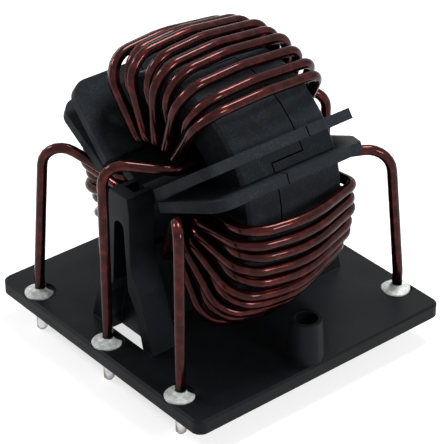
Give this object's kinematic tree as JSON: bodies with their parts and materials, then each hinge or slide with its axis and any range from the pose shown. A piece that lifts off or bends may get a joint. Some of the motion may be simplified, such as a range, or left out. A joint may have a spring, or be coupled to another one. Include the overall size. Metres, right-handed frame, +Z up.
{
  "type": "leaded inductor",
  "caption": "Through-hole common-mode choke: ring core in a finned case, wound with enamelled wire, held on edge between two stands on a square base plate.",
  "frame": {"origin": "middle of the base plate's underside, which seats on the board", "axes": "+Z up from the board, Y along the ring's axis with the front towards -Y, X along the rows of pins"},
  "size_m": [0.06, 0.059, 0.063],
  "materials": {
    "plastic": "black moulded plastic with a fine grain",
    "wire": "dark brown-red enamel over copper, ends tinned",
    "compound": "pale glossy sealing compound",
    "core": "dark sintered core, out of sight"
  },
  "bodies": {
    "root": {"base_plate": "plastic", "case_front": "plastic", "case_rear": "plastic", "ring_carrier": "plastic", "ring_core": "core", "seal_front_left": "compound", "seal_front_middle": "compound", "seal_front_right": "compound", "seal_rear_left": "compound", "seal_rear_middle": "compound", "seal_rear_right": "compound", "winding_left": "wire", "winding_right": "wire", "winding_top": "wire"}
  },
  "joints": []
}
